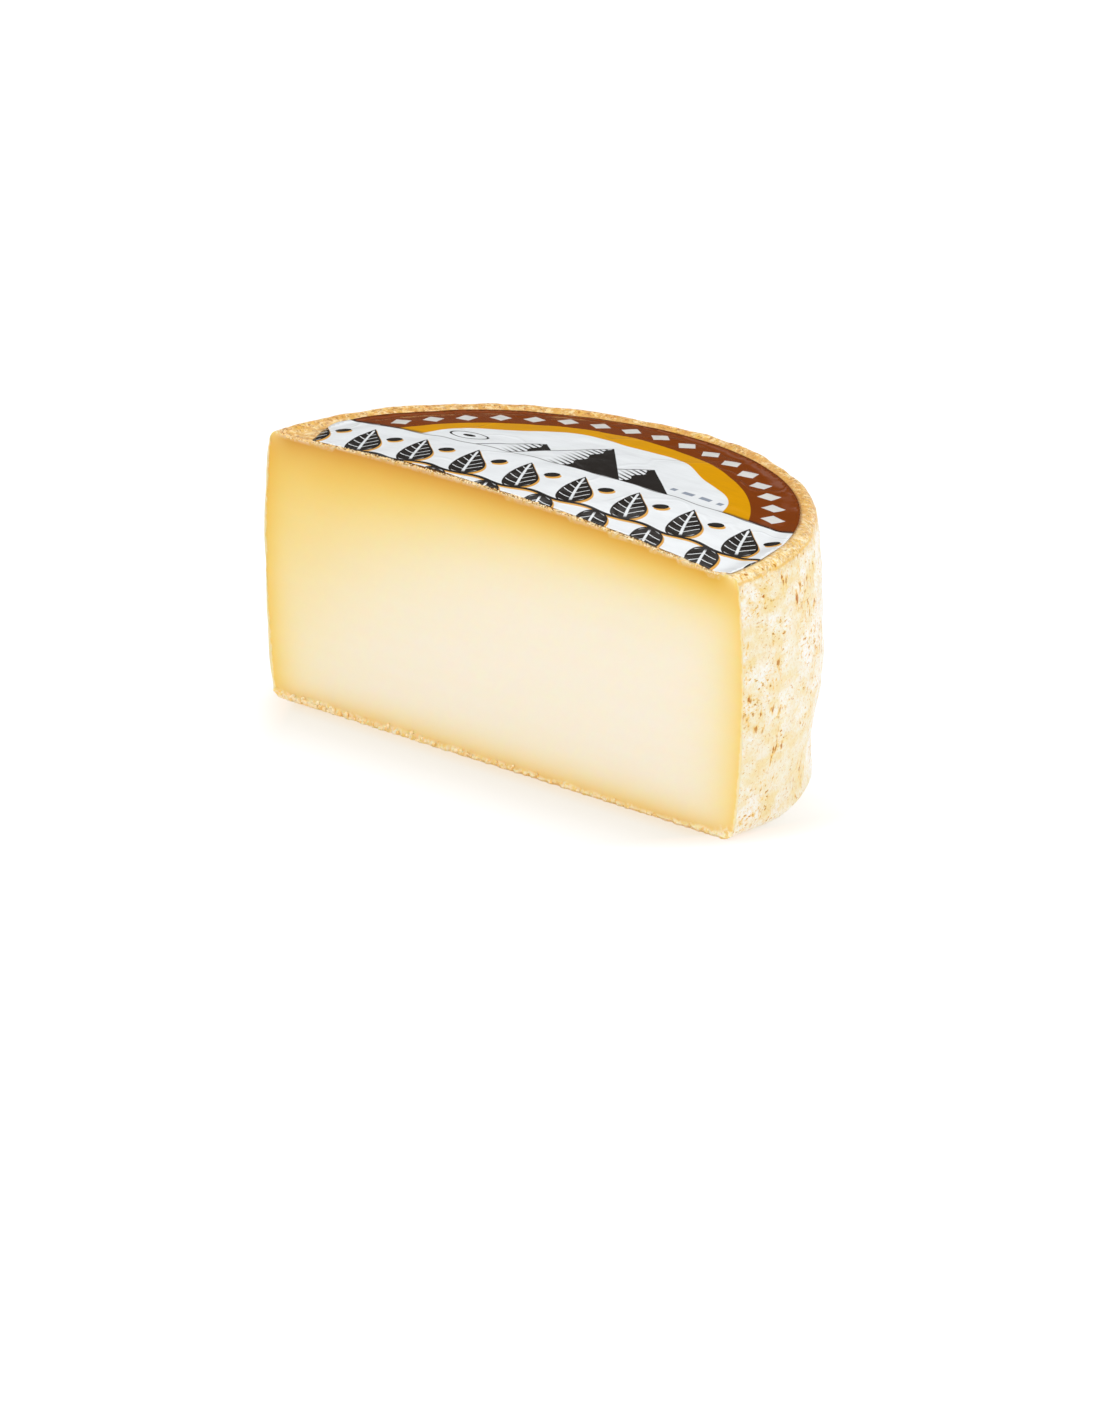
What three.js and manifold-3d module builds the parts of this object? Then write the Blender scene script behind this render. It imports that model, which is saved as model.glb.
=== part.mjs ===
// Half a wheel of pressed goat's cheese standing on its base, with the round paper label that
// was glued to the top of the whole wheel and cut through with it.
// Millimetres, +Z up. The cut face looks along -Y, and the rind runs round the back.

import * as THREE from 'three';
import { ImprovedNoise } from 'three/addons/math/ImprovedNoise.js';
import { mergeVertices } from 'three/addons/utils/BufferGeometryUtils.js';
import Module from 'manifold-3d';

// The whole wheel, before it is cut
const BELLY_RADIUS = 100;
const BELLY_HEIGHT = 46;
const BELLY_BULGE = 3.4; // how far the belly stands out past the foot
const FOOT_ROUND = 3.2;
const SHOULDER_ROUND = 3.4;
const EDGE_HEIGHT = 85.6;
const TOP_SLOPE = 0.0318; // the top falls towards +X, from uneven pressing
const DOME_RISE = 3.6;
const DOME_RADIUS = 82;
const RIM_RISE = 0.6; // the roll of rind just inside the shoulder
const RIM_WIDTH = 3.2;
const GROOVE_DEPTH = 0.5; // the hollow between the roll and the dome
const GROOVE_WIDTH = 3;
const GROOVE_RADIUS = 87.5;

// The rind's bumps and dents: swells carry smaller crags
const SWELL_HEIGHT = 0.6;
const SWELL_LENGTH = 21;
const CRAG_HEIGHT = 0.65;
const CRAG_LENGTH = 8.5;
const RIND_FADE = 7; // distance over which the relief dies out at the base and at the label

// The cut, and the lip of torn rind that the knife leaves along its foot
const CUT_BEFORE_AXIS = 1;
const CUT_WAVE = 0.15;
const CUT_WAVE_LENGTH = 45;
const LIP_DEPTH = 1.1;
const LIP_HEIGHT = 3;
const LIP_LENGTH = 5.5;
const LIP_SHARE = 0.45; // how much of the lip is there where its crags are level

// The label: a paper disc, a little to one side of the wheel's centre
const LABEL_RADIUS = 90.5;
const LABEL_X = 3;
const LABEL_SETBACK = 1.2; // its cut edge curls back from the cut face
const LABEL_THICKNESS = 0.4;
const LABEL_GAP = 0.4;
const LABEL_WAVE = 0.35;
const LABEL_WAVE_LENGTH = 24;

// How finely each stretch is divided
const WHEEL_SEGMENTS = 132;
const LABEL_SEGMENTS = 84;
const ROUND_STEPS = 4;
const SIDE_STEPS = 15;
const RIM_STEPS = 5;
const DOME_STEPS = 10;
const KNIFE_COLUMNS = 72;
const KNIFE_ROWS = 12;
const KNIFE_CROWDING = 3; // the power that draws the rows towards the foot

// How far the knife reaches past the wheel at the sides and the top, and below the base
const KNIFE_OVERHANG = 20;
const KNIFE_BELOW = 1.5;

const wasm = await Module();
wasm.setup();
const noise = new ImprovedNoise();

function clamp01(value) {
  return Math.min(1, Math.max(0, value));
}

function hump(distance) {
  return Math.exp(-distance * distance);
}

// The wheel's section: radius of the side at a height, and height of the top at a radius
function sideRadius(z) {
  const fromBelly = (z - BELLY_HEIGHT) / BELLY_HEIGHT;
  return BELLY_RADIUS - BELLY_BULGE * fromBelly * fromBelly;
}

const SHOULDER_HEIGHT = EDGE_HEIGHT + RIM_RISE - SHOULDER_ROUND;
const RIM_RADIUS = sideRadius(SHOULDER_HEIGHT) - SHOULDER_ROUND;

function topHeight(radius) {
  const dome = DOME_RISE * Math.max(0, 1 - (radius / DOME_RADIUS) ** 2);
  const roll = RIM_RISE * hump((radius - RIM_RADIUS) / RIM_WIDTH);
  const groove = GROOVE_DEPTH * hump((radius - GROOVE_RADIUS) / GROOVE_WIDTH);
  return EDGE_HEIGHT + dome + roll - groove;
}

function slopeFactor(x) {
  return 1 - (TOP_SLOPE * x) / EDGE_HEIGHT;
}

function radiusAt(x, y) {
  return Math.hypot(x, y - CUT_BEFORE_AXIS);
}

function evenSteps(from, to, steps) {
  return Array.from({ length: steps + 1 }, (_, i) => from + ((to - from) * i) / steps);
}

// Radii from the axis to an edge: wide rings over the dome, and narrow ones over the roll
function ringRadii(edge) {
  const domeEdge = GROOVE_RADIUS - 2 * GROOVE_WIDTH;
  const inner = evenSteps(0, domeEdge, DOME_STEPS);
  const outer = evenSteps(domeEdge, edge, RIM_STEPS).slice(1);
  return [...inner, ...outer];
}

function wheelProfile() {
  const footCentre = sideRadius(FOOT_ROUND) - FOOT_ROUND;
  const foot = new THREE.EllipseCurve(
    footCentre, FOOT_ROUND, FOOT_ROUND, FOOT_ROUND, -Math.PI / 2, 0);
  const shoulder = new THREE.EllipseCurve(
    RIM_RADIUS, SHOULDER_HEIGHT, SHOULDER_ROUND, SHOULDER_ROUND, 0, Math.PI / 2);
  const sideHeights = evenSteps(FOOT_ROUND, SHOULDER_HEIGHT, SIDE_STEPS).slice(1, -1);
  const topRadii = ringRadii(RIM_RADIUS).slice(0, -1).reverse();
  return [
    new THREE.Vector2(0, 0),
    ...foot.getPoints(ROUND_STEPS),
    ...sideHeights.map((z) => new THREE.Vector2(sideRadius(z), z)),
    ...shoulder.getPoints(ROUND_STEPS),
    ...topRadii.map((radius) => new THREE.Vector2(radius, topHeight(radius))),
  ];
}

// A geometry with shared corners merged and its empty triangles dropped
function weld(geometry) {
  geometry.deleteAttribute('normal');
  geometry.deleteAttribute('uv');
  const welded = mergeVertices(geometry);
  const corners = welded.index.array;
  const kept = [];
  for (let i = 0; i < corners.length; i += 3) {
    const [a, b, c] = corners.slice(i, i + 3);
    if (a !== b && b !== c && c !== a) kept.push(a, b, c);
  }
  welded.setIndex(kept);
  return welded;
}

// A profile turned about a vertical axis, with no corner on the cut plane itself
function turned(profile, segments) {
  const geometry = new THREE.LatheGeometry(profile, segments);
  geometry.rotateX(Math.PI / 2);
  geometry.rotateZ(Math.PI / segments);
  return weld(geometry);
}

// Moves every corner of a geometry by a function of its place and its normal
function shape(geometry, move) {
  geometry.computeVertexNormals();
  const { position, normal } = geometry.attributes;
  const point = new THREE.Vector3();
  const outward = new THREE.Vector3();
  for (let i = 0; i < position.count; i++) {
    point.fromBufferAttribute(position, i);
    outward.fromBufferAttribute(normal, i);
    move(point, outward);
    position.setXYZ(i, point.x, point.y, point.z);
  }
  geometry.deleteAttribute('normal');
  return geometry;
}

function rindRelief(x, y, z) {
  const swell = noise.noise(x / SWELL_LENGTH, y / SWELL_LENGTH, z / SWELL_LENGTH);
  const crag = noise.noise(x / CRAG_LENGTH, y / CRAG_LENGTH, z / CRAG_LENGTH);
  return SWELL_HEIGHT * swell + CRAG_HEIGHT * crag;
}

// The rind is rough on the side and the rim, and pressed flat at the base and under the label
function rindFade(x, y, z) {
  const fromLabel = Math.hypot(x - LABEL_X, y) - LABEL_RADIUS;
  const fromTop = EDGE_HEIGHT - z;
  return clamp01(z / RIND_FADE) * clamp01(Math.max(fromLabel, fromTop) / RIND_FADE);
}

function wholeWheel() {
  const wheel = turned(wheelProfile(), WHEEL_SEGMENTS);
  wheel.translate(0, CUT_BEFORE_AXIS, 0);
  return shape(wheel, (point, outward) => {
    const relief = rindRelief(point.x, point.y, point.z) * rindFade(point.x, point.y, point.z);
    point.z *= slopeFactor(point.x);
    point.addScaledVector(outward, relief);
  });
}

function wholeLabel() {
  const radii = ringRadii(LABEL_RADIUS);
  const profile = [
    ...radii.map((radius) => new THREE.Vector2(radius, 0)),
    ...radii.toReversed().map((radius) => new THREE.Vector2(radius, LABEL_THICKNESS)),
  ];
  const label = turned(profile, LABEL_SEGMENTS);
  label.translate(LABEL_X, 0, 0);
  return shape(label, (point) => {
    const { x, y } = point;
    const wave = noise.noise(x / LABEL_WAVE_LENGTH, y / LABEL_WAVE_LENGTH, 0);
    const top = topHeight(radiusAt(x, y)) * slopeFactor(x);
    point.z += top + LABEL_GAP + (LABEL_WAVE * (1 + wave)) / 2;
  });
}

// How far the cut face stands in front of its plane: nearly flat, with crags along the foot
function cutFace(x, z) {
  const wave = CUT_WAVE * noise.noise(x / CUT_WAVE_LENGTH, z / CUT_WAVE_LENGTH, 0);
  const ragged = clamp01(LIP_SHARE + noise.noise(x / LIP_LENGTH, z / LIP_LENGTH, 0));
  return wave + LIP_DEPTH * ragged * clamp01(1 - z / LIP_HEIGHT);
}

// The knife: everything in front of the cut, with rows that crowd towards the foot
function knife(setback) {
  const depth = BELLY_RADIUS + KNIFE_OVERHANG;
  const width = 2 * depth;
  const height = EDGE_HEIGHT + DOME_RISE + KNIFE_OVERHANG;
  const box = new THREE.BoxGeometry(width, depth, 1, KNIFE_COLUMNS, 1, KNIFE_ROWS);
  box.translate(0, -depth / 2, 1 / 2);
  return shape(weld(box), (point) => {
    point.z = height * point.z ** KNIFE_CROWDING - KNIFE_BELOW;
    if (point.y > -depth / 2) point.y = setback - cutFace(point.x, Math.max(0, point.z));
  });
}

function solid(geometry) {
  const mesh = new wasm.Mesh({
    numProp: 3,
    vertProperties: Float32Array.from(geometry.attributes.position.array),
    triVerts: Uint32Array.from(geometry.index.array),
  });
  return new wasm.Manifold(mesh);
}

function cutAway(whole, blade) {
  const { vertProperties, triVerts } = solid(whole).subtract(solid(blade)).getMesh();
  const geometry = new THREE.BufferGeometry();
  geometry.setAttribute('position', new THREE.BufferAttribute(vertProperties, 3));
  geometry.setIndex(new THREE.BufferAttribute(triVerts, 1));
  geometry.computeVertexNormals();
  return geometry;
}

function named(name, geometry, look) {
  const mesh = new THREE.Mesh(geometry, new THREE.MeshStandardMaterial(look));
  mesh.name = name;
  return mesh;
}

const cheese = named('cheese', cutAway(wholeWheel(), knife(0)), {
  color: 0xf3dda6,
  roughness: 0.62,
  metalness: 0,
});
const label = named('label', cutAway(wholeLabel(), knife(LABEL_SETBACK)), {
  color: 0xdde2e5,
  roughness: 0.35,
  metalness: 0,
});

// The origin is at the middle of the base's box
const halfWheel = new THREE.Group();
halfWheel.add(cheese, label);
const box = new THREE.Box3().setFromObject(halfWheel);
const middle = box.getCenter(new THREE.Vector3());
halfWheel.position.set(-middle.x, -middle.y, -box.min.z);

export default halfWheel;
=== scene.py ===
import math

import bmesh
import bpy
import numpy as np
from mathutils import Euler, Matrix, Vector, geometry, kdtree, noise


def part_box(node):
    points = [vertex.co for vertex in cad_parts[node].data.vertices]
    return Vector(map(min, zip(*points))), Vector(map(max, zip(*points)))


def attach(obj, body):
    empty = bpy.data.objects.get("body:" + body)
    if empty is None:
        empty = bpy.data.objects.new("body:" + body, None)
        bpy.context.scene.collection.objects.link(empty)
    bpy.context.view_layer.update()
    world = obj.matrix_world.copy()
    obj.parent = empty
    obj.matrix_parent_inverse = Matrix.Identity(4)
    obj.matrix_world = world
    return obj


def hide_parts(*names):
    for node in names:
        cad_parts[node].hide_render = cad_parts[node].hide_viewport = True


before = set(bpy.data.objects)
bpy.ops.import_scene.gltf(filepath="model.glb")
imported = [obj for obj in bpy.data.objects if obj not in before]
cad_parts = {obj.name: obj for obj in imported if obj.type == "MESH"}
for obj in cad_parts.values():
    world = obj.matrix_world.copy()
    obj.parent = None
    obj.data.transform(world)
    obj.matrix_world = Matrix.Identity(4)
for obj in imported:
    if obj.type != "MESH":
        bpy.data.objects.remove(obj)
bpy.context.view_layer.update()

# The half wheel
# A goat's cheese pressed in a round mould, ripened until a thin dry rind formed on it, and cut through
# its middle with a long knife. It is one solid: the rind is its skin, and ivory paste shows at the cut.
# Soft when young, it has slumped a little: its foot is splayed at the right, and its back is flatter.
MM = 0.001
belly_radius = 100 * MM
belly_height = 46 * MM
belly_bulge = 3.4 * MM
foot_round = 3.2 * MM
shoulder_round = 3.4 * MM
edge_height = 85.6 * MM
top_slope = 0.0318
dome_rise = 3.6 * MM
dome_radius = 82 * MM
rim_rise = 0.6 * MM
rim_width = 3.2 * MM
groove_depth = 0.5 * MM
groove_width = 3 * MM
groove_radius = 87.5 * MM
cut_before_axis = 1 * MM

label_setback = 1.2 * MM
label_radius = 90.5 * MM
label_low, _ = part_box("label")
cut_y = label_low.y - label_setback
label_centre = Vector((3 * MM, cut_y))

shoulder_height = edge_height + rim_rise - shoulder_round
depth_stretch = 1 + cut_before_axis / belly_radius


def side_radius(z):
    """Radius of the wheel's bulging side at a height."""
    return belly_radius - belly_bulge * ((z - belly_height) / belly_height) ** 2


rim_radius = side_radius(shoulder_height) - shoulder_round


def top_height(radius):
    """Height of the wheel's top at a distance from its axis, before its slope: dome, roll and groove."""
    dome = dome_rise * np.maximum(0, 1 - (radius / dome_radius) ** 2)
    roll = rim_rise * np.exp(-((radius - rim_radius) / rim_width) ** 2)
    groove = groove_depth * np.exp(-((radius - groove_radius) / groove_width) ** 2)
    return edge_height + dome + roll - groove


def sloped(x, z):
    """A height on the wheel, with the fall of its top towards +X."""
    return z * (1 - top_slope * x / edge_height)


def on_top(x, y):
    """Height of the wheel's top over a place on its plan."""
    return sloped(x, top_height(np.hypot(x, (y - cut_y) / depth_stretch)))


def soft_step(low, high, value):
    """From 0 at the low value to 1 at the high one, eased at both ends."""
    t = np.clip((value - low) / (high - low), 0, 1)
    return t * t * (3 - 2 * t)


def noise_at(points, length, seed):
    """Smooth noise between about -1 and 1 at each point, with bumps of one length."""
    shift = Vector((seed, -seed, 2 * seed))
    return np.array([noise.noise(Vector(point) / length + shift) for point in points])


def arc(centre_radius, centre_height, radius, start, end, steps):
    """Points along a round of the section, from one angle in degrees to another."""
    angles = np.radians(np.linspace(start, end, steps + 1))
    return np.c_[centre_radius + radius * np.cos(angles), centre_height + radius * np.sin(angles)]


def rind_section(step, inner_radius):
    """The rind from the foot up the side and over the shoulder to under the label: radius and height."""
    foot = arc(side_radius(foot_round) - foot_round, foot_round, foot_round, -90, 0, 6)
    heights = np.arange(foot_round + step, shoulder_height - step / 2, step)
    side = np.c_[side_radius(heights), heights]
    shoulder = arc(rim_radius, shoulder_height, shoulder_round, 0, 90, 7)
    radii = np.arange(rim_radius - step, inner_radius, -step)
    return np.vstack([foot, side, shoulder, np.c_[radii, top_height(radii)]])


def from_label(points):
    """Distance outside the label's edge on the plan, below zero under the label."""
    return np.hypot(points[:, 0] - label_centre.x, points[:, 1] - label_centre.y) - label_radius


swell_height = 0.45 * MM
swell_length = 21 * MM
crag_height = 0.42 * MM
crag_length = 8.5 * MM
grain_height = 0.11 * MM
grain_length = 2.4 * MM
label_fade = 2.5 * MM
top_fade = 5 * MM
base_fade = 7 * MM


def rind_relief(points):
    """How far the rind stands out at each point; it is pressed flat at the base and under the label."""
    swell = swell_height * noise_at(points, swell_length, seed=1.3)
    crag = crag_height * noise_at(points, crag_length, seed=4.1)
    grain = grain_height * noise_at(points, grain_length, seed=7.7)
    from_top = edge_height - points[:, 2]
    clear = np.clip(np.maximum(from_label(points) / label_fade, from_top / top_fade), 0, 1)
    above_base = np.clip(points[:, 2] / base_fade, 0, 1)
    return (swell + crag + grain) * above_base * clear


cut_wave = 0.1 * MM
cut_wave_length = 45 * MM
knife_drag = 0.04 * MM
knife_drag_length = 5 * MM
lip_depth = 0.85 * MM
lip_height_middle = 1.4 * MM
lip_rise_left = 1.2 * MM
lip_rise_right = 0.8 * MM
lip_unevenness = 0.9 * MM
lip_height_least = 0.3 * MM
torn_corner_x = 97 * MM
torn_corner_width = 10 * MM
torn_corner_height = 5 * MM


def cut_relief(points):
    """How far the cut stands in front of its plane, and the share of torn rind in its skin."""
    x, z = points[:, 0], points[:, 2]
    flat = points * np.array([1, 0, 1])
    along = points * np.array([1, 0, 0])
    wave = cut_wave * noise_at(flat, cut_wave_length, seed=2.2)
    drag = knife_drag * noise_at(flat * np.array([0.35, 0, 1]), knife_drag_length, seed=6.1)
    rise_left = lip_rise_left * soft_step(70 * MM, -80 * MM, x)
    rise_right = lip_rise_right * soft_step(72 * MM, 84 * MM, x)
    uneven = lip_unevenness * noise_at(along, 7 * MM, seed=3.4)
    lip_height = np.maximum(lip_height_middle + rise_left + rise_right + uneven, lip_height_least)
    lip = 1 - soft_step(0.55, 1.1, z / lip_height)
    ragged = np.clip(0.5 + noise_at(flat, 1.9 * MM, seed=5.5), 0, 1)
    burr_depth = (0.55 + 0.4 * noise_at(along, 3 * MM, seed=8.1)) * MM
    burr = 1 - soft_step(0.3, 1, (on_top(x, cut_y) - z) / burr_depth)
    from_corner = np.hypot((torn_corner_x - x) / torn_corner_width, z / torn_corner_height)
    corner = 0.9 * (1 - soft_step(0.4, 1, from_corner + 0.3 * (ragged - 0.5)))
    torn = lip * (0.4 + 0.6 * ragged) + 0.7 * burr + corner
    return wave + drag + lip_depth * lip * ragged, np.clip(torn, 0, 1)


def fill_patch(border, spacing):
    """Points spread inside a flat border, and triangles over both, numbered with the border first.
    The spacing is a function of the height on the patch."""
    near = kdtree.KDTree(len(border))
    for number, corner in enumerate(border):
        near.insert((*corner, 0), number)
    near.balance()
    border_gap = 0.6
    same_place = 1e-7
    low, high = border.min(0), border.max(0)
    spread = []
    row_height = low[1]
    shift = 0
    while row_height < high[1]:
        gap = spacing(row_height)
        row_height += gap * math.sqrt(3) / 2
        shift = gap / 2 - shift
        spread += [(x, row_height) for x in np.arange(low[0] + shift, high[0], gap)]
    inside = [place for place in spread if near.find((*place, 0))[2] > border_gap * spacing(place[1])]
    corners = [Vector(place) for place in [*border.tolist(), *inside]]
    ring = list(range(len(border)))
    _, _, triangles, source, _, _ = geometry.delaunay_2d_cdt(corners, [], [ring], 1, same_place)
    triangles = [[source[corner][0] for corner in triangle] for triangle in triangles]
    return np.array(inside).reshape(-1, 2), np.array(triangles)


def tidy_corners(points, faces):
    """The same faces with the corners that none of them uses left out."""
    used = np.unique(np.concatenate([np.ravel(face) for face in faces]))
    renumber = np.full(len(points), -1)
    renumber[used] = np.arange(len(used))
    return points[used], [renumber[face] for face in faces], used


foot_splay = 2.2 * MM
splay_height = 4.5 * MM
waist_depth = 1.2 * MM
waist_height = 15 * MM
waist_spread = 10 * MM
corner_pinch = 1.0 * MM
pinch_height = 8 * MM
back_flattening = 2.2 * MM
back_turn = 101
back_spread = 17
shoulder_wear = 1.2 * MM
wear_height = 74.4 * MM
wear_spread = 12 * MM


def slump(section, angles):
    """How far each point of the section has moved outwards, at each angle round the wheel from +X."""
    radius, height = section.T
    turn = np.degrees(angles)
    right_side = soft_step(4, 16, turn) * soft_step(85, 45, turn)
    splay = right_side * np.maximum(0, 1 - height / splay_height) ** 2
    waist = right_side * np.exp(-((height - waist_height) / waist_spread) ** 2)
    pinch = (1 - soft_step(0, 12, turn)) * np.maximum(0, 1 - height / pinch_height) ** 2
    outer = soft_step(89 * MM, 95 * MM, radius)
    flat_back = outer * np.exp(-((turn - back_turn) / back_spread) ** 2)
    shoulder = np.clip((height - wear_height) / wear_spread, 0, 1) ** 2
    worn_end = outer * shoulder * soft_step(160, 178, turn)
    pressed_in = waist_depth * waist + corner_pinch * pinch + back_flattening * flat_back
    return foot_splay * splay - pressed_in - shoulder_wear * worn_end


def rind_points(section, angles):
    """Corners of the rind with its relief: the section repeated round the wheel, from +X to -X."""
    along = np.gradient(section, axis=0)
    across = np.c_[along[:, 1], -along[:, 0]]
    across /= np.linalg.norm(across, axis=1)[:, None]
    level, upright = across.T
    radius = section[:, 0] + slump(section, angles)
    x = radius * np.cos(angles)
    y = cut_y + radius * np.sin(angles) * depth_stretch
    smooth = np.stack([x, y, sloped(x, section[:, 1])], 2).reshape(-1, 3)
    outward = np.stack([level * np.cos(angles), level * np.sin(angles), upright + 0 * angles], 2)
    return smooth + outward.reshape(-1, 3) * rind_relief(smooth)[:, None]


def half_wheel_mesh():
    """Corners, torn shares, and faces of the rind, top, base and cut, which share their edges."""
    step = 0.76 * MM
    fine_step = 0.45 * MM
    wide_step = 6 * MM
    coarser_above_foot = 1 * MM
    turns = 430
    under_label = 80 * MM
    section = rind_section(step, under_label)
    count = len(section)
    rind = rind_points(section, np.linspace(0, math.pi, turns + 1)[:, None])

    # The straight edges of the top and the base along the cut, from +X to -X
    top_edge = np.arange(rind[count - 1, 0] - step, rind[-1, 0] + step / 2, -step)
    base_edge = np.arange(rind[0, 0] - step, rind[-count, 0] + step / 2, -fine_step)
    burr = 0.25 * MM * noise_at(np.c_[top_edge, 0 * top_edge, 0 * top_edge], 2.2 * MM, seed=8.8)
    top_line = np.c_[top_edge, np.full(len(top_edge), cut_y), on_top(top_edge, cut_y) + burr]
    base_line = np.c_[base_edge, np.full(len(base_edge), cut_y), 0 * base_edge]
    points = np.vstack([rind, top_line, base_line])
    top_numbers = len(rind) + np.arange(len(top_line))
    base_numbers = len(rind) + len(top_line) + np.arange(len(base_line))
    right_end = np.arange(count)
    left_end = turns * count + np.arange(count)

    columns, rows = np.meshgrid(np.arange(turns), np.arange(count - 1), indexing="ij")
    first = (columns * count + rows).ravel()
    rind_faces = np.c_[first, first + count, first + count + 1, first + 1]

    def patch(loop, axes, spacing, lift):
        nonlocal points
        inside, triangles = fill_patch(points[loop][:, axes], spacing)
        numbers = np.concatenate([loop, len(points) + np.arange(len(inside))])
        points = np.vstack([points, lift(inside)])
        return numbers[triangles]

    def even(_):
        return wide_step

    def fine_at_foot(z):
        return fine_step + coarser_above_foot * soft_step(3 * MM, 14 * MM, z)

    inner_ring = count - 1 + count * np.arange(turns + 1)
    base_ring = count * np.arange(turns + 1)
    top_faces = patch(np.concatenate([inner_ring, top_numbers[::-1]]), [0, 1], even,
                      lambda p: np.c_[p, on_top(p[:, 0], p[:, 1])])
    base_faces = patch(np.concatenate([base_ring, base_numbers[::-1]]), [0, 1], even,
                       lambda p: np.c_[p, 0 * p[:, 0]])[:, ::-1]
    cut_loop = np.concatenate([right_end, top_numbers, left_end[::-1], base_numbers[::-1]])
    first_inside = len(points)
    cut_faces = patch(cut_loop, [0, 2], fine_at_foot,
                      lambda p: np.c_[p[:, 0], np.full(len(p), cut_y), p[:, 1]])

    on_cut = np.concatenate([cut_loop, np.arange(first_inside, len(points))])
    torn = np.zeros(len(points))
    forward, torn[on_cut] = cut_relief(points[on_cut])
    points[on_cut, 1] -= forward
    points, faces, used = tidy_corners(points, [rind_faces, top_faces, base_faces, cut_faces])
    return points, torn[used], faces


def colour(red, green, blue):
    """A colour in the usual 0 to 255 screen values, as the linear values that shaders take."""
    screen = [value / 255 for value in (red, green, blue)]
    linear = [v / 12.92 if v <= 0.04045 else ((v + 0.055) / 1.055) ** 2.4 for v in screen]
    return (*linear, 1.0)


class Shade:
    """A shader node's output: arithmetic on it adds the nodes that work it out."""

    def __init__(self, tree, output=None):
        self.tree = tree
        self.output = output

    def node(self, kind, sockets, out=0, **settings):
        """A node of a kind, with its settings made first and then its sockets set or linked."""
        made = self.tree.nodes.new("ShaderNode" + kind)
        for name, value in settings.items():
            setattr(made, name, value)
        for socket, value in sockets.items():
            if isinstance(value, Shade):
                self.tree.links.new(value.output, made.inputs[socket])
            else:
                made.inputs[socket].default_value = value
        return Shade(self.tree, made.outputs[out] if made.outputs else None)

    def math(self, operation, *others):
        """An operation with this as its first value."""
        return self.node("Math", dict(enumerate((self, *others))), operation=operation)

    def after(self, first, operation):
        """An operation with this as its second value."""
        return self.node("Math", {0: first, 1: self}, operation=operation)

    def __add__(self, other):
        return self.math("ADD", other)

    def __sub__(self, other):
        return self.math("SUBTRACT", other)

    def __rsub__(self, other):
        return self.after(other, "SUBTRACT")

    def __mul__(self, other):
        return self.math("MULTIPLY", other)

    def __truediv__(self, other):
        return self.math("DIVIDE", other)

    def __pow__(self, other):
        return self.math("POWER", other)

    def __rpow__(self, other):
        return self.after(other, "POWER")

    __radd__ = __add__
    __rmul__ = __mul__

    def __neg__(self):
        return self * -1

    def __abs__(self):
        return self.math("ABSOLUTE")

    def step(self, low, high):
        """From 0 at the low value to 1 at the high one, eased at both ends."""
        sockets = {"Value": self, "From Min": low, "From Max": high}
        return self.node("MapRange", sockets, interpolation_type="SMOOTHSTEP")

    def mix(self, low, high):
        """One colour where this is 0, and another where it is 1."""
        return self.node("Mix", {0: self, 6: low, 7: high}, out=2, data_type="RGBA")

    def split(self):
        """The three parts of a vector."""
        return [self.node("SeparateXYZ", {0: self}, out=axis) for axis in range(3)]

    def stretched(self, *factors):
        """A vector with each of its parts multiplied."""
        return self.node("VectorMath", {0: self, 1: factors}, operation="MULTIPLY")

    def speckle(self, length, detail=2.0, roughness=0.5):
        """Soft noise from 0 to 1 at this place, with bumps of one length."""
        sockets = {"Vector": self, "Scale": 1 / length, "Detail": detail, "Roughness": roughness}
        return self.node("TexNoise", sockets)


def new_material(name):
    """A material with an empty node tree, and the place on the object that its nodes start from."""
    material = bpy.data.materials.new(name)
    material.use_nodes = True
    material.node_tree.nodes.clear()
    start = Shade(material.node_tree)
    return material, start.node("TexCoord", {}, out="Object")


def finish_material(start, **sockets):
    """The surface shader of a material; its sockets are named with _ for a space."""
    named = {name.replace("_", " "): value for name, value in sockets.items()}
    surface = start.node("BsdfPrincipled", named)
    start.node("OutputMaterial", {"Surface": surface})


def side_colour(flat, x, behind, level):
    """The side: cream and straw with white bloom, a painted highlight at the back right, and golden near
    the rim.
    """
    straw = flat.speckle(9 * MM, 4, 0.6).step(0.38, 0.64)
    side = straw.mix(colour(250, 240, 217), colour(247, 226, 172))
    # Painted highlight: extra white on the back right of the side, added on top of the real white bloom.
    painted_highlight = 0.16 * behind.step(38 * MM, 64 * MM) * x.step(40 * MM, 60 * MM)
    bloom_and_highlight = (flat.speckle(17 * MM, 6, 0.7) + painted_highlight).step(0.46, 0.64)
    side = (bloom_and_highlight * 0.8).mix(side, colour(255, 253, 249))
    gilding = flat.speckle(6 * MM, 4, 0.65).step(0.47, 0.66) * level.step(52 * MM, 86 * MM)
    return (gilding * 0.75).mix(side, colour(244, 210, 118))


def rim_colour(place, golden):
    """The rough crust of the rim, from pale to golden, with rust and pits; and the veins in it."""
    rim = golden.mix(colour(246, 220, 158), colour(224, 162, 66))
    light_grain = golden.mix(colour(253, 241, 210), colour(253, 226, 170))
    rim = place.speckle(2.2 * MM, 4, 0.7).step(0.45, 0.58).mix(rim, light_grain)
    veins = 1 - abs(place.speckle(7 * MM, 3, 0.6) - 0.5).step(0.005, 0.04)
    rim = (veins * 0.7).mix(rim, colour(230, 172, 62))
    rust = place.speckle(4.5 * MM, 3, 0.6).step(0.52, 0.62) * golden
    rim = (rust * 0.55).mix(rim, colour(212, 140, 48))
    pitted = place.speckle(1.4 * MM, 3, 0.7).step(0.54, 0.62) * (0.45 + 0.55 * golden)
    return pitted.mix(rim, colour(176, 104, 14)), veins


split_behind_cut = 33 * MM
split_height = 70 * MM
split_half_width = 6 * MM
split_half_height = 8 * MM


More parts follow.
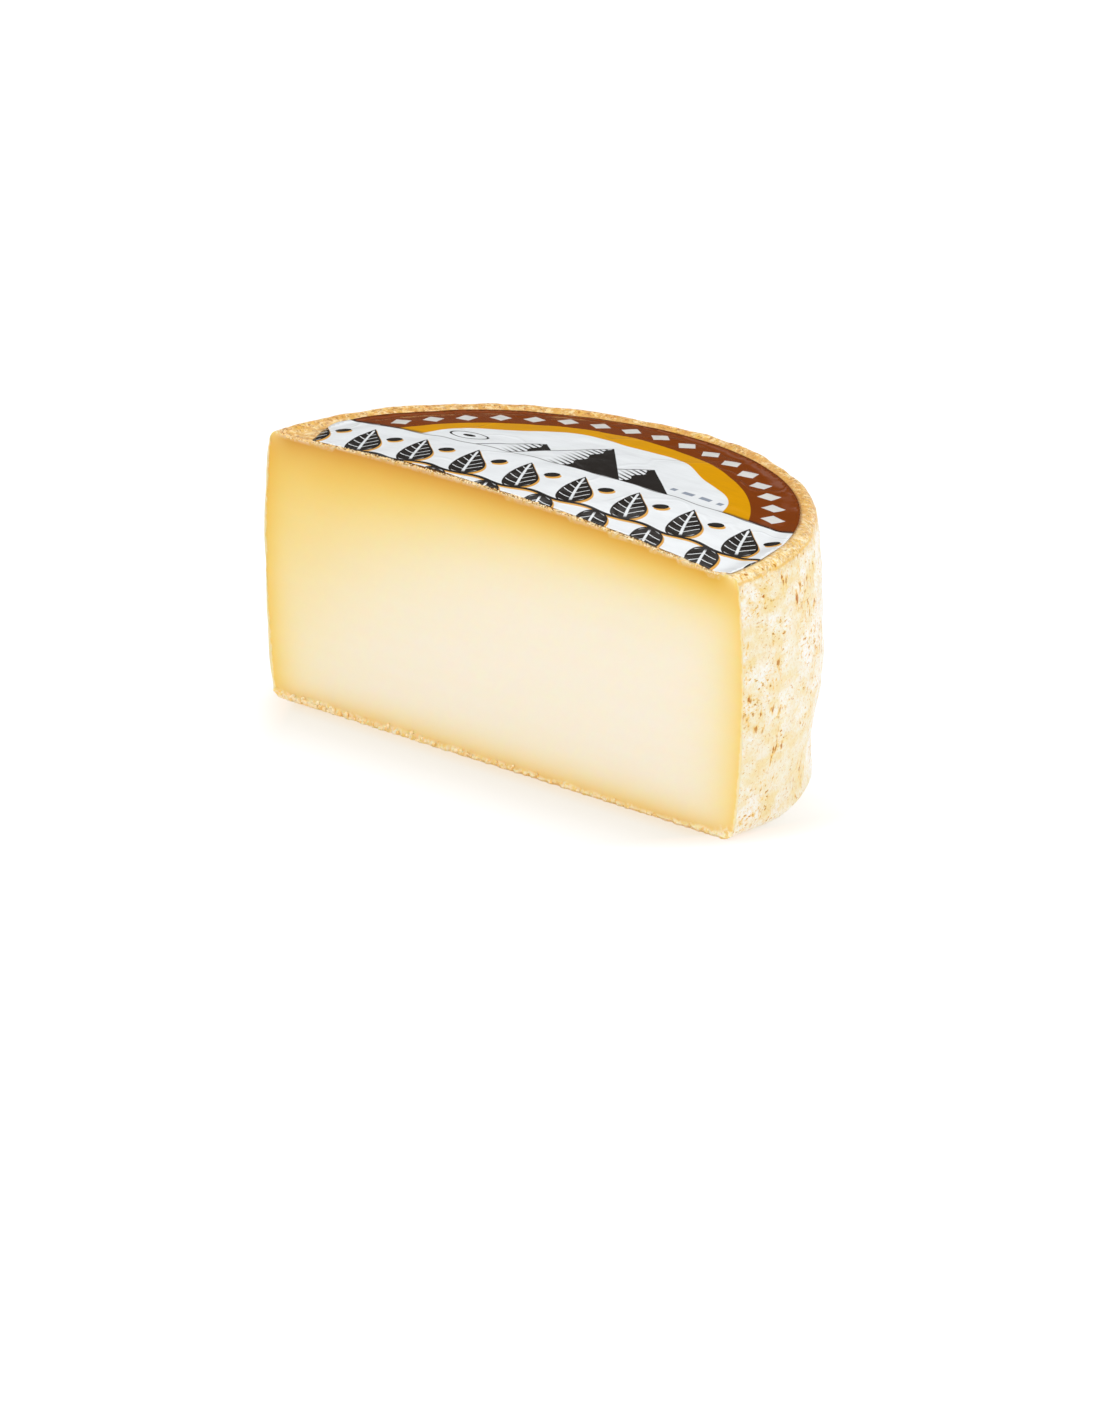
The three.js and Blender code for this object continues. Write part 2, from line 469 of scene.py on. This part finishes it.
def add_cracks(base, place):
    """A colour with short cracks added, dark inside a yellow edge, and closest in one split at +X."""
    x, y, z = place.split()
    across = (y - cut_y - split_behind_cut) / split_half_width
    upward = (z - split_height) / split_half_height
    split = ((across ** 2 + upward ** 2) ** 0.5).step(1, 0.4) * x.step(60 * MM, 80 * MM)
    cracked = place.stretched(1, 1, 0.5).speckle(2.3 * MM, 3, 0.6) + 0.09 * split
    gathered = place.speckle(26 * MM, 1).step(0.5, 0.6).math("MAXIMUM", split)
    base = (cracked.step(0.55, 0.65) * gathered * 0.85).mix(base, colour(247, 202, 88))
    return (cracked.step(0.63, 0.69) * gathered).mix(base, colour(190, 110, 6))


def rind_material():
    """Dry, finely grained cream rind with a golden rim, stains, cracks, and brown specks."""
    material, place = new_material("goat_rind")
    x, y, z = place.split()
    behind = y - cut_y
    level = z + top_slope * x
    flat = place.stretched(1, 1, 1.7)
    golden = x.step(85 * MM, 0).math("MAXIMUM", behind.step(20 * MM, 75 * MM))
    rim_share = level.step(80.5 * MM, 86.5 * MM)
    rim, veins = rim_colour(place, golden)
    base = rim_share.mix(side_colour(flat, x, behind, level), rim)

    crease_height = 84.2 * MM
    crease = 1 - abs(level - crease_height).step(0.1 * MM, 0.7 * MM)
    creased = crease * place.speckle(5 * MM, 3, 0.6).step(0.36, 0.52)
    base = (creased * 0.75).mix(base, colour(240, 190, 82))
    dust = place.speckle(0.9 * MM, 3, 0.7).step(0.48, 0.62)
    base = (dust * 0.36).mix(base, colour(236, 204, 128))
    pinholes = flat.speckle(1.2 * MM, 2, 0.5).step(0.63, 0.7)
    base = (pinholes * 0.7).mix(base, colour(222, 168, 60))
    scars = flat.speckle(4.2 * MM, 4, 0.6).step(0.66, 0.74)
    base = scars.mix(base, colour(214, 150, 40))
    base = add_cracks(base, place)
    clusters = flat.speckle(16 * MM, 2).step(0.44, 0.62)
    spots = flat.speckle(1.9 * MM, 2, 0.5)
    halo = spots.step(0.54, 0.66) * clusters
    speck = spots.step(0.63, 0.72) * clusters
    base = (halo * 0.85).mix(base, colour(248, 206, 96))
    base = speck.mix(base, colour(190, 118, 10))

    # Painted shadow of the paper's edge, partly a glue stain: a darker golden band and a dark line beside
    # the label, stronger where the rim is golden, and left out where the label's corner is worn away.
    outside = ((x - label_centre.x) ** 2 + (y - label_centre.y) ** 2) ** 0.5 - label_radius
    worn_corner = x.step(-70 * MM, -80 * MM) * behind.step(18 * MM, 8 * MM)
    stain_and_shadow = (1 - worn_corner) * (0.3 + 0.7 * golden)
    beside_label_shade = 1 - outside.step(0.4 * MM, 3.2 * MM)
    base = (beside_label_shade * stain_and_shadow * 0.5).mix(base, colour(222, 164, 70))
    glue_and_shadow_line = 1 - outside.step(0.3 * MM, 1.0 * MM)
    base = (glue_and_shadow_line * stain_and_shadow * 0.8).mix(base, colour(150, 92, 26))

    grain = place.speckle(1.1 * MM, 4, 0.65)
    height = 0.45 * grain - 0.5 * speck - 0.4 * veins * rim_share
    normal = place.node("Bump", {"Height": height, "Strength": 0.7, "Distance": 0.55 * MM})
    finish_material(place, Base_Color=base, Roughness=0.72 + 0.15 * grain, Normal=normal,
                    Subsurface_Weight=0.2, Subsurface_Radius=(1.0, 0.6, 0.3), Subsurface_Scale=1.5 * MM,
                    Sheen_Weight=0.3, Sheen_Roughness=0.35)
    return material


def margin(depth, reach):
    """From 1 at the skin towards 0 deep inside."""
    return (-depth / reach).math("EXPONENT")


def paste_colour(place, clouds, side_depth, top_depth):
    """Ivory that yellows where the paste has dried under the rind: deepest under the top, most at -X."""
    x, _, z = place.split()
    drier = 2 ** ((-20 * MM - x) / (28 * MM))
    worn_end = 1 - 0.95 * abs(x).step(86 * MM, 98 * MM) * margin(top_depth, 4 * MM)
    under_top = (1.95 - 0.12 * drier) * worn_end * margin(top_depth, (7 + 5 * drier) * MM)
    below_shoulder = margin(top_depth, 12 * MM) * (1 - margin(top_depth, 4 * MM)) ** 2
    left_skin = 1.2 * below_shoulder * x.step(0, -60 * MM)
    inside_side = (0.94 - x / (1000 * MM) + left_skin) * margin(side_depth, 7.3 * MM)
    above_base = 0.8 * margin(z, 4.4 * MM)
    dryness = (under_top ** 2 + inside_side ** 2 + above_base ** 2) ** 0.5
    drags = place.stretched(0.12, 1, 1).speckle(5 * MM, 3)
    dryness = dryness * (0.9 + 0.2 * clouds) + 0.06 * (drags - 0.4)
    ivory = colour(251, 237, 217)
    kept_when_dry = (0.92, 0.71, 0.18)
    channels = [light * kept ** dryness for light, kept in zip(ivory, kept_when_dry)]
    paste = place.node("CombineXYZ", dict(enumerate(channels)))
    top_skin = margin(top_depth, 4.2 * MM) * x.step(160 * MM, -20 * MM) * worn_end
    paste = top_skin.mix(paste, colour(208, 138, 16))
    return (0.5 * margin(z, 2.6 * MM)).mix(paste, colour(226, 164, 78))


def paste_material():
    """The cut: moist paste, a pale line of rind at both ends, and torn rind along the foot and top."""
    material, place = new_material("goat_paste")
    x, _, z = place.split()
    side_depth = belly_radius - belly_bulge * ((z - belly_height) / belly_height) ** 2 - abs(x)
    domed = dome_rise * (1 - (x / dome_radius) ** 2) - top_slope * x
    top_depth = edge_height + domed - z
    clouds = place.speckle(24 * MM, 3)
    paste = paste_colour(place, clouds, side_depth, top_depth)
    rind_edge = (side_depth + place.speckle(2.5 * MM, 3) * (1.6 * MM)).step(1.9 * MM, 1.1 * MM)
    paste = (rind_edge * 0.8).mix(paste, colour(252, 232, 186))

    torn = place.node("Attribute", {}, out="Fac", attribute_name="torn")
    crumbly = place.speckle(1.4 * MM, 3, 0.6)
    rind = crumbly.step(0.4, 0.56).mix(colour(248, 212, 134), colour(255, 243, 210))
    surface = (torn * 0.9).mix(paste, rind)
    # Painted contact shadow: a thin brown line along the foot of the cut, most at the right, where it
    # meets the floor.
    foot_contact_shadow = (z + place.speckle(3 * MM, 3, 0.6) * (1.2 * MM)).step(1.3 * MM, 1.0 * MM)
    foot_contact_shadow = foot_contact_shadow * x.step(-70 * MM, 20 * MM)
    surface = (foot_contact_shadow * 0.45).mix(surface, colour(196, 136, 62))

    grain = place.speckle(0.9 * MM, 3, 0.6)
    height = 0.15 * grain + torn * crumbly
    normal = place.node("Bump", {"Height": height, "Strength": 0.7, "Distance": 0.4 * MM})
    roughness = 0.42 + 0.12 * clouds + 0.3 * torn
    finish_material(place, Base_Color=surface, Roughness=roughness, Normal=normal,
                    Subsurface_Weight=0.5, Subsurface_Radius=(1.0, 0.55, 0.22), Subsurface_Scale=3 * MM)
    return material


def new_piece(name, points, faces, *materials):
    """An object of smooth faces, riding on the one body there is."""
    mesh = bpy.data.meshes.new(name)
    mesh.from_pydata(points.tolist(), [], [face.tolist() for group in faces for face in group])
    mesh.shade_smooth()
    for material in materials:
        mesh.materials.append(material)
    piece = bpy.data.objects.new(name, mesh)
    bpy.context.scene.collection.objects.link(piece)
    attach(piece, "root")
    return piece


wheel_points, wheel_torn, wheel_faces = half_wheel_mesh()
half_wheel = new_piece("cheese_half", wheel_points, wheel_faces, rind_material(), paste_material())
torn_marks = half_wheel.data.attributes.new("torn", "FLOAT", "POINT")
torn_marks.data.foreach_set("value", wheel_torn)
rind_skin, paste_skin = 0, 1
face_skins = (rind_skin, rind_skin, rind_skin, paste_skin)
skins = np.repeat(face_skins, [len(group) for group in wheel_faces])
half_wheel.data.polygons.foreach_set("material_index", skins.astype(np.int32))
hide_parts("cheese")


# The crumbs of torn rind
# Grains that the knife pulled off the rind as it went through. They stick along the foot of the cut, most
# at the left, and in a thin ragged line along its top edge.
def crumb_mesh(centres, sizes, draws):
    """Small uneven grains, each a ball with its corners pulled about, flattened and turned at random."""
    ball = bmesh.new()
    bmesh.ops.create_icosphere(ball, subdivisions=1, radius=1)
    corners = np.array([corner.co for corner in ball.verts])
    triangles = np.array([[corner.index for corner in face.verts] for face in ball.faces])
    ball.free()
    points = []
    for centre, size in zip(centres, sizes):
        uneven = corners * draws.uniform(0.7, 1.15, (len(corners), 1)) * draws.uniform(0.55, 1.1, 3)
        turn = Euler(draws.uniform(0, 2 * math.pi, 3)).to_matrix()
        points.append(centre + size * uneven @ np.array(turn))
    numbers = np.arange(len(centres))[:, None, None] * len(corners)
    points = np.vstack(points)
    points[:, 2] = np.maximum(points[:, 2], 0)
    return points, (triangles + numbers).reshape(-1, 3)


def crumb_material():
    """Dry crumbs, from pale cream to straw."""
    material, place = new_material("goat_crumbs")
    share = place.speckle(2.5 * MM, 2).step(0.38, 0.62)
    grain = place.speckle(0.5 * MM, 2)
    normal = place.node("Bump", {"Height": grain, "Strength": 0.25, "Distance": 0.2 * MM})
    finish_material(place, Base_Color=share.mix(colour(255, 236, 194), colour(253, 212, 136)),
                    Roughness=0.72 + 0.1 * grain, Normal=normal)
    return material


crumb_draws = np.random.default_rng(11)
foot_count = 170
foot_reach = 94 * MM
foot_stand_out = 0.45 * MM
foot_share = crumb_draws.beta(0.75, 1.25, foot_count)
foot_x = (foot_share * 2 - 1) * foot_reach
foot_size = crumb_draws.uniform(0.25, 1.35 - 1.05 * foot_share) * MM
foot_z = foot_size * 0.7 + np.minimum(crumb_draws.exponential(0.6, foot_count), 1.6) * MM
foot_crumbs = np.c_[foot_x, np.full(foot_count, cut_y - foot_stand_out), foot_z]
edge_count = 900
edge_x = crumb_draws.uniform(-93.5, 92.5, edge_count) * MM
edge_size = crumb_draws.uniform(0.15, 0.5, edge_count) * MM
edge_y = cut_y + crumb_draws.uniform(-0.2, 1.2, edge_count) * MM
edge_crumbs = np.c_[edge_x, edge_y, on_top(edge_x, edge_y)]
edge_crumbs[:, 2] += rind_relief(edge_crumbs) + 0.1 * edge_size
crumb_points, crumb_faces = crumb_mesh(
    np.vstack([foot_crumbs, edge_crumbs]), np.concatenate([foot_size, edge_size]), crumb_draws)
rind_crumbs = new_piece("rind_crumbs", crumb_points, [crumb_faces], crumb_material())


# The label
# A round of glossy printed paper, glued to the top of the whole wheel while it ripened and cut through
# with it. It has taken up the top's dome and cockled a little, and its left end has worn away. The print
# is flat colour: bands, leaves and hills.
label_thickness = 0.2 * MM
label_lift = 0.25 * MM
label_turn = math.radians(5.6)
label_spread = 2.2 * MM
label_wear = 10.7 * MM
cockle_height = 0.34 * MM
cockle_length = 18 * MM
ripple_height = 0.18 * MM
ripple_length = 7.5 * MM
cockle_least = -0.2 * MM


def label_outline(step):
    """The half round that the knife left, as a loop on the plan: the worn arc, then the cut edge."""
    start = math.asin(label_setback / label_radius)
    angles = np.linspace(start, math.pi - start, round(math.pi * label_radius / step))
    turn = np.degrees(angles)
    spread = label_spread * soft_step(105, 145, turn)
    wear = label_wear * soft_step(166, 181, turn)
    radii = label_radius + spread - wear
    arc_points = np.c_[np.cos(angles) * radii, np.sin(angles) * radii]
    edge_x = np.arange(arc_points[-1, 0] + step, arc_points[0, 0] - step / 2, step)
    ragged = 0.25 * MM * noise_at(np.c_[edge_x, 0 * edge_x, 0 * edge_x], 4 * MM, seed=2.9)
    edge_points = np.c_[edge_x, label_setback + ragged]
    return np.vstack([arc_points, edge_points]) + np.array(label_centre)


def label_mesh():
    """The paper's two faces, split alike, and the thin wall round them."""
    border_step = 0.9 * MM
    face_step = 1.15 * MM
    border = label_outline(border_step)
    inside, triangles = fill_patch(border, lambda _: face_step)
    plan = np.vstack([border, inside])
    flat = np.c_[plan, 0 * plan[:, 0]]
    cockle = cockle_height * noise_at(flat, cockle_length, seed=5.2)
    cockle += ripple_height * noise_at(flat, ripple_length, seed=1.6)
    under = on_top(plan[:, 0], plan[:, 1]) + label_lift + np.maximum(cockle, cockle_least)
    points = np.vstack([np.c_[plan, under + label_thickness], np.c_[plan, under]])
    ring = np.arange(len(border))
    after = np.roll(ring, -1)
    walls = np.c_[ring, ring + len(plan), after + len(plan), after]
    points, faces, _ = tidy_corners(points, [triangles, triangles[:, ::-1] + len(plan), walls])
    return points, faces


def inked(distance):
    """1 where a distance in millimetres is above zero, with a printed edge's softness."""
    return distance.step(-0.12, 0.12)


def leaf(root_u, off_stem, length, half_width):
    """A pointed leaf leaning back from its root on the stem, and the rib and veins in it."""
    lean = math.radians(115)
    along = root_u * math.cos(lean) + off_stem * math.sin(lean)
    across = abs(off_stem * math.cos(lean) - root_u * math.sin(lean))
    share = along / length
    edge = 2.6 * half_width * share ** 0.5 * (1 - share) - across
    blade = inked(edge) * share.step(-0.01, 0.01)
    rib = inked(0.42 - across)
    veins = inked(0.26 - abs((along - 0.9 * across).math("WRAP", 2.3, -2.3)))
    return blade, rib.math("MAXIMUM", veins) * inked(edge - 0.7) * share.step(0.05, 0.15)


def garland(u, v):
    """Leaves standing on a stem and hanging from it, with berries between: the ink, and its veins."""
    period = 20.5
    leaf_length = 25.0
    leaf_half_width = 5.2
    leaf_lead = 6.0
    stem_v = 6.5 + 0.9 * (u * (2 * math.pi / period)).math("SINE")
    root = u.math("WRAP", leaf_lead, leaf_lead - period)
    hanging_root = (period / 2 - u).math("WRAP", leaf_lead, leaf_lead - period)
    rise = v - stem_v
    upper, upper_veins = leaf(root, rise, leaf_length, leaf_half_width)
    lower, lower_veins = leaf(hanging_root, -rise, leaf_length, leaf_half_width)
    stem = inked(0.8 - abs(rise))
    berry = inked(2.3 - ((root - 1.5) ** 2 + (rise - 16.5) ** 2) ** 0.5)
    ink = upper.math("MAXIMUM", lower).math("MAXIMUM", stem).math("MAXIMUM", berry)
    return ink, upper_veins + lower_veins


def hill(u, v, peak_u, foot_v, height, half_width):
    """A steep hill standing on a line: all of it, and its inked outline and shaded side."""
    rise = height * (1 - abs(u - peak_u) / half_width) - (v - foot_v)
    hatching = inked((v * 0.9 + u * 0.35).math("PINGPONG", 1.0) - 0.62) * (u - peak_u).step(-9, -1)
    shaded = inked(u - peak_u + 0.8 * (v * 0.8).math("SINE"))
    ink = (1 - inked(rise - 0.8)).math("MAXIMUM", shaded).math("MAXIMUM", hatching)
    return inked(rise), ink


paper = colour(245, 248, 250)
charcoal = colour(46, 42, 39)
gold = colour(230, 162, 4)
brown = colour(132, 62, 14)
pale_grey = colour(228, 226, 222)
slate_blue = colour(112, 126, 146)
ochre = colour(232, 172, 84)
banner_v = 34.0


def banner(u, v):
    """The print above the rule: a gold and a brown band with marks, hills, a ring and three dashes; and
    the share of dark ink at the foot of the bands, which goes on after the rule."""
    gold_radius = 67.5
    brown_radius = 75.5
    mark_radius = 82.5
    radius = (u * u + v * v) ** 0.5
    angle = v.math("ARCTAN2", u)
    wavy = gold_radius + 1.5 * (angle * 11).math("SINE")
    ink = inked(radius - wavy).mix(paper, gold)
    ink = inked(radius - brown_radius).mix(ink, brown)
    mark_cell = (angle * mark_radius).math("WRAP", 5.4, -5.4)
    marks = inked(3.6 - abs(mark_cell) - 0.95 * abs(radius - mark_radius))
    ink = marks.mix(ink, pale_grey)

    hills = ((-20.0, 14.0, 15.0), (20.0, 16.0, 16.0), (-2.0, 25.0, 20.0))
    for peak_u, height, half_width in hills:
        inside, hill_ink = hill(u, v, peak_u, banner_v + 1.5, height, half_width)
        ink = inside.mix(ink, hill_ink.mix(paper, charcoal))

    ring_u, ring_v = -44.0, 41.0
    ring_radius = 7.0
    from_ring = ((u - ring_u) ** 2 + (2.2 * (v - ring_v)) ** 2) ** 0.5
    ink = (inked(0.45 - abs(from_ring - ring_radius)) + inked(2.4 - from_ring)).mix(ink, charcoal)
    dash_u, dash_v = 44.2, 40.0
    half_cell = 3.2
    dash_cell = (u - dash_u + half_cell).math("WRAP", half_cell, -half_cell)
    dashes = inked(2.0 - abs(dash_cell)) * inked(1.1 - abs(v - dash_v))
    ink = (dashes * inked(3 * half_cell - abs(u - dash_u)) * 0.8).mix(ink, slate_blue)
    band_foot = (1 - (v - banner_v).step(0.0, 2.4)) * (radius - 64.0).step(0.0, 6.0)
    return ink, band_foot


def label_material():
    """Glossy cockled paper, printed with the banner above a thin rule and the garland below it."""
    material, place = new_material("label_paper")
    x, y, _ = place.split()
    from_x = (x - label_centre.x) / MM
    from_y = (y - label_centre.y) / MM
    u = from_x * math.cos(label_turn) + from_y * math.sin(label_turn)
    v = from_y * math.cos(label_turn) - from_x * math.sin(label_turn)
    above = inked(v - banner_v)
    below = 1 - above
    banner_ink, band_foot = banner(u, v)
    ink = above.mix(paper, banner_ink)
    rule = inked(0.3 - abs(v - banner_v - 0.4 * (u * 0.35).math("SINE")))
    ink = (rule * 0.7).mix(ink, charcoal)
    ink = (band_foot * above * 0.8).mix(ink, charcoal)
    shadow, _ = garland(u - 1.2, v + 1.0)
    leaves, ribs = garland(u, v)
    ink = (shadow * below).mix(ink, ochre)
    ink = (leaves * below).mix(ink, charcoal)
    ink = (ribs * below).mix(ink, paper)

    fibres = place.speckle(0.6 * MM, 2)
    cockles = place.stretched(0.5, 1, 1).speckle(7 * MM, 3)
    creases = 1 - abs(place.speckle(34 * MM, 2) - 0.5).step(0.0, 0.022)
    height = cockles + 0.35 * creases
    normal = place.node("Bump", {"Height": height, "Strength": 0.4, "Distance": 0.6 * MM})
    finish_material(place, Base_Color=ink, Roughness=0.12 + 0.06 * fibres, Normal=normal,
                    Specular_IOR_Level=0.35)
    return material


label_points, label_faces = label_mesh()
paper_label = new_piece("paper_label", label_points, label_faces, label_material())
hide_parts("label")


# The floor, the light and the camera
# A white light table, whose glow is dimmer and warmer close to the cheese: a painted shadow, with painted
# bounce light from the cheese in its warmth. Soft boxes stand on four sides of it under a bright ceiling,
# and one narrow pane of light behind it puts gloss on the paper. The camera looks down a little from the
# front right.
floor_half = 6
floor_mesh = bpy.data.meshes.new("floor")
floor_corners = [(x, y, 0) for x, y in ((-1, -1), (1, -1), (1, 1), (-1, 1))]
floor_mesh.from_pydata([Vector(corner) * floor_half for corner in floor_corners], [], [(0, 1, 2, 3)])
floor = bpy.data.objects.new("floor", floor_mesh)
bpy.context.scene.collection.objects.link(floor)
floor_paint, floor_place = new_material("floor_paint")
floor_x, floor_y, _ = floor_place.split()
front_reach = 46 * MM
end_reach = 20 * MM
back_reach = 60 * MM
shaded_radius = 86 * MM
white = (1, 1, 1, 1)
foot_shade = (0.82, 0.7, 0.55, 1)
open_shade = (0.81, 0.765, 0.685, 1)
end_shade = (0.93, 0.79, 0.68, 1)
before_cut = (cut_y - floor_y).math("MAXIMUM", 0)
behind_cut = (floor_y - cut_y).math("MAXIMUM", 0)
from_axis = (floor_x ** 2 + behind_cut ** 2) ** 0.5
past_ends = (from_axis + 0.7 * before_cut - 0.6 * behind_cut - shaded_radius).math("MAXIMUM", 0)
reaches = ((before_cut, front_reach), (past_ends, end_reach), (behind_cut, back_reach))
clear = sum((distance / reach) ** 2 for distance, reach in reaches) ** 0.5
# Painted shadow around the cheese: deepest and warmest at its foot, and peach past its ends as painted
# bounce light.
shade = clear.step(0.0, 0.2).mix(foot_shade, open_shade)
shade = (past_ends / (8 * MM)).step(0, 1).mix(shade, end_shade)
glow_with_painted_shadow = clear.step(0.05, 1.0).mix(shade, white)
finish_material(floor_place, Base_Color=(0.3, 0.3, 0.3, 1), Roughness=0.9, Specular_IOR_Level=0.0,
                Emission_Color=glow_with_painted_shadow, Emission_Strength=0.76)
floor_mesh.materials.append(floor_paint)

studio = bpy.data.worlds.new("studio")
studio.use_nodes = True
studio.node_tree.nodes.clear()
sky = Shade(studio.node_tree)
towards_x, towards_y, height = sky.node("TexCoord", {}, out="Generated").split()
seen = sky.node("LightPath", {}, out="Is Camera Ray")
behind = (0.77 * towards_y - 0.64 * towards_x).step(0.7, 0.92)
pane = height.step(0.41, 0.43) * (1 - height.step(0.46, 0.48))
pane = pane * (-towards_x).step(0.45, 0.6) * behind
low_glow = (0.85 - 0.8 * behind) * (1 - height.step(0.2, 0.3))
ceiling = 1.85 * height.step(0.6, 0.8)
glow = low_glow + 0.01 + 0.8 * pane + ceiling
strength = seen + (1 - seen) * glow
backdrop = sky.node("Background", {"Color": white, "Strength": strength})
sky.node("OutputWorld", {"Surface": backdrop})
bpy.context.scene.world = studio

lamp_aim = Vector((0, 0, 0.04))
lamp_size = 0.9
soft_boxes = (
    ("right_box", (1.45, 0.9, 0.2), 4.1),
    ("front_box", (0.4, -1.7, 0.45), 5.75),
    ("back_box", (0.75, 1.6, 0.5), 3.8),
    ("left_box", (-1.75, 0.2, 0.6), 2.4),
)
for name, place, power in soft_boxes:
    lamp = bpy.data.lights.new(name, "AREA")
    lamp.size = lamp_size
    lamp.energy = power
    holder = bpy.data.objects.new(name, lamp)
    holder.location = place
    holder.rotation_euler = (lamp_aim - Vector(place)).to_track_quat("-Z", "Y").to_euler()
    holder.visible_camera = False
    bpy.context.scene.collection.objects.link(holder)

camera_azimuth = math.radians(42.33)
camera_elevation = math.radians(19.78)
camera_distance = 1.762
camera_aim = Vector((8.3 * MM, cut_y + 15.74 * MM, 15.86 * MM))
picture_height = 1422
focal_length = 5691.5
camera_data = bpy.data.cameras.new("camera")
camera_data.sensor_width = 36
camera_data.lens = camera_data.sensor_width * focal_length / picture_height
camera = bpy.data.objects.new("camera", camera_data)
towards_camera = Vector((
    math.sin(camera_azimuth) * math.cos(camera_elevation),
    -math.cos(camera_azimuth) * math.cos(camera_elevation),
    math.sin(camera_elevation),
))
camera.location = camera_aim + camera_distance * towards_camera
camera.rotation_euler = towards_camera.to_track_quat("Z", "Y").to_euler()
bpy.context.scene.collection.objects.link(camera)
bpy.context.scene.camera = camera
bpy.context.scene.view_settings.view_transform = "Standard"
